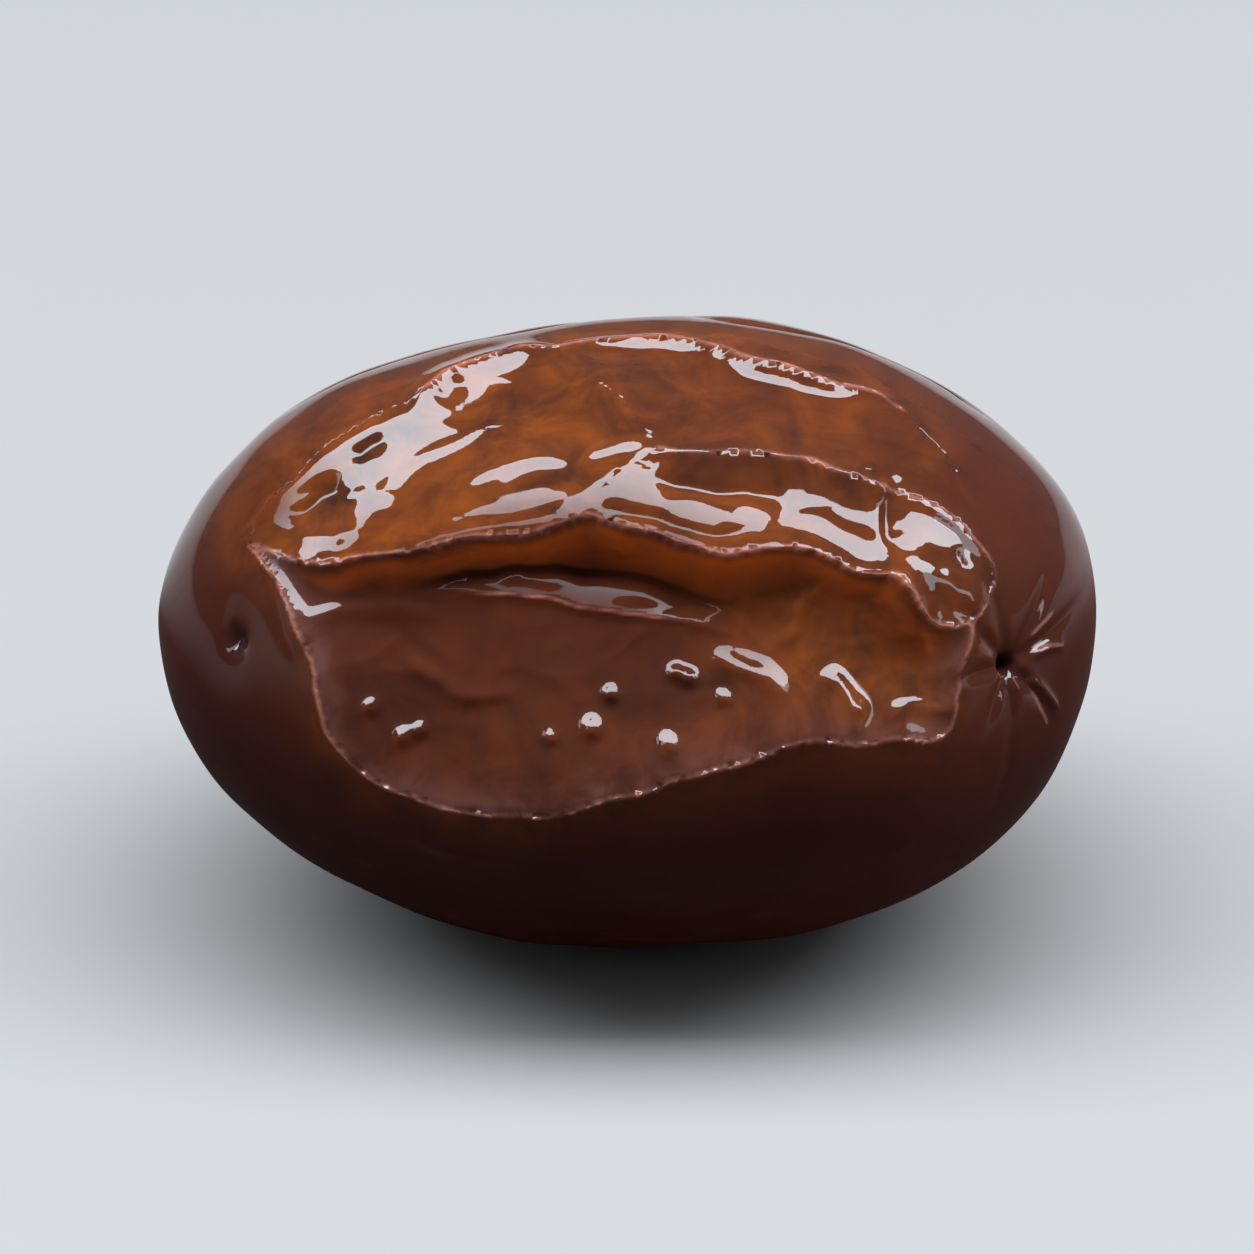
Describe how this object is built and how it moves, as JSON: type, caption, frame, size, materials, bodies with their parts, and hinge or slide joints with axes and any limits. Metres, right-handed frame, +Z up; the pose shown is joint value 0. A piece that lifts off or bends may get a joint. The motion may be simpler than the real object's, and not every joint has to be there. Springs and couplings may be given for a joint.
{
  "type": "gemlik olive",
  "caption": "Whole cured black olive lying on its side: a plump, dark glossy fruit with sunken panels between crisp wrinkled crests, a stem scar and a tip pit.",
  "frame": {"origin": "middle of the footprint, on the surface that the fruit rests on", "axes": "+X along the long axis towards the stem end, -Y towards the front with the large sunken panel, +Z up"},
  "size_m": [0.025, 0.0176, 0.0168],
  "materials": {
    "skin": "wet gloss"
  },
  "bodies": {
    "root": {"olive": "skin"}
  },
  "joints": []
}
